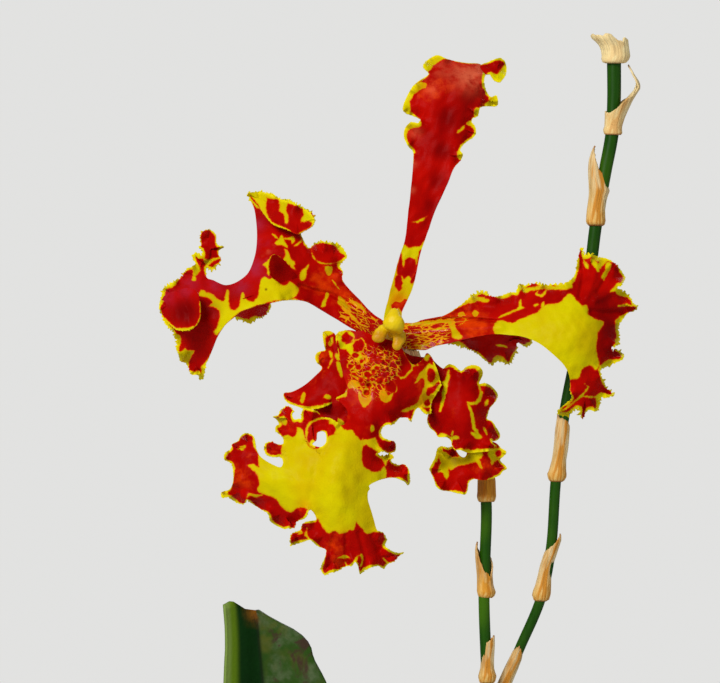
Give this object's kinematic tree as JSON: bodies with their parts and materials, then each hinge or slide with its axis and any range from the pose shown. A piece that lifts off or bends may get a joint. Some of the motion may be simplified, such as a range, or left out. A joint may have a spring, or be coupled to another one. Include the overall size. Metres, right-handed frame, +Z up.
{
  "type": "potted psychopsis orchid",
  "caption": "Butterfly orchid in a clay pot of bark: pseudobulbs with mottled leaves and a branched, jointed flower stem with one ruffled red and yellow bloom.",
  "frame": {"origin": "middle of the pot's foot, on the surface it stands on", "axes": "+Z up along the pot's axis; the bloom faces -Y, with +X to the right as one faces it"},
  "size_m": [0.1518, 0.1312, 0.4631],
  "materials": {
    "clay": "unglazed fired clay, matt and slightly chalky",
    "bark": "rough damp bark",
    "bulb": "ribbed green skin, satin",
    "leaf": "leathery green skin mottled with purple-brown, satin",
    "stem": "smooth green skin, satin",
    "paper_bract": "dry papery tan sheath with an orange-brown foot",
    "dry_sheath": "dry fibrous sheath",
    "root": "spongy white root skin, matt",
    "petal": "waxy deep red with yellow patches, bars and margins, satin",
    "lip": "waxy yellow with a red mottled claw and margins, satin",
    "column": "waxy yellow, satin",
    "ovary": "ribbed yellow-green, satin"
  },
  "bodies": {
    "root": {"pot": "clay", "bark_mix": "bark", "flower_stem": "stem", "ovary": "ovary", "column": "column", "lip": "lip", "pseudobulb_a": "bulb", "pseudobulb_b": "bulb", "pseudobulb_c": "bulb", "pseudobulb_d": "bulb", "pseudobulb_e": "bulb", "leaf_a": "leaf", "leaf_b": "leaf", "leaf_c": "leaf", "leaf_d": "leaf", "leaf_e": "leaf", "root_1": "root", "root_2": "root", "root_3": "root", "root_4": "root", "root_5": "root", "sheath_a": "dry_sheath", "sheath_d": "dry_sheath", "sheath_e": "dry_sheath", "bract_flowering_low": "paper_bract", "bract_flowering_mid": "paper_bract", "bract_flowering_high": "paper_bract", "bract_spent_foot": "paper_bract", "bract_spent_low": "paper_bract", "bract_spent_mid": "paper_bract", "bract_spent_hidden": "paper_bract", "bract_spent_high": "paper_bract", "bract_spent_top": "paper_bract", "bract_spent_tip": "paper_bract", "bract_peduncle_high": "paper_bract", "bract_peduncle_low": "paper_bract", "dorsal_sepal": "petal", "petal_left": "petal", "petal_right": "petal", "lateral_sepal_left": "petal", "lateral_sepal_right": "petal"}
  },
  "joints": []
}
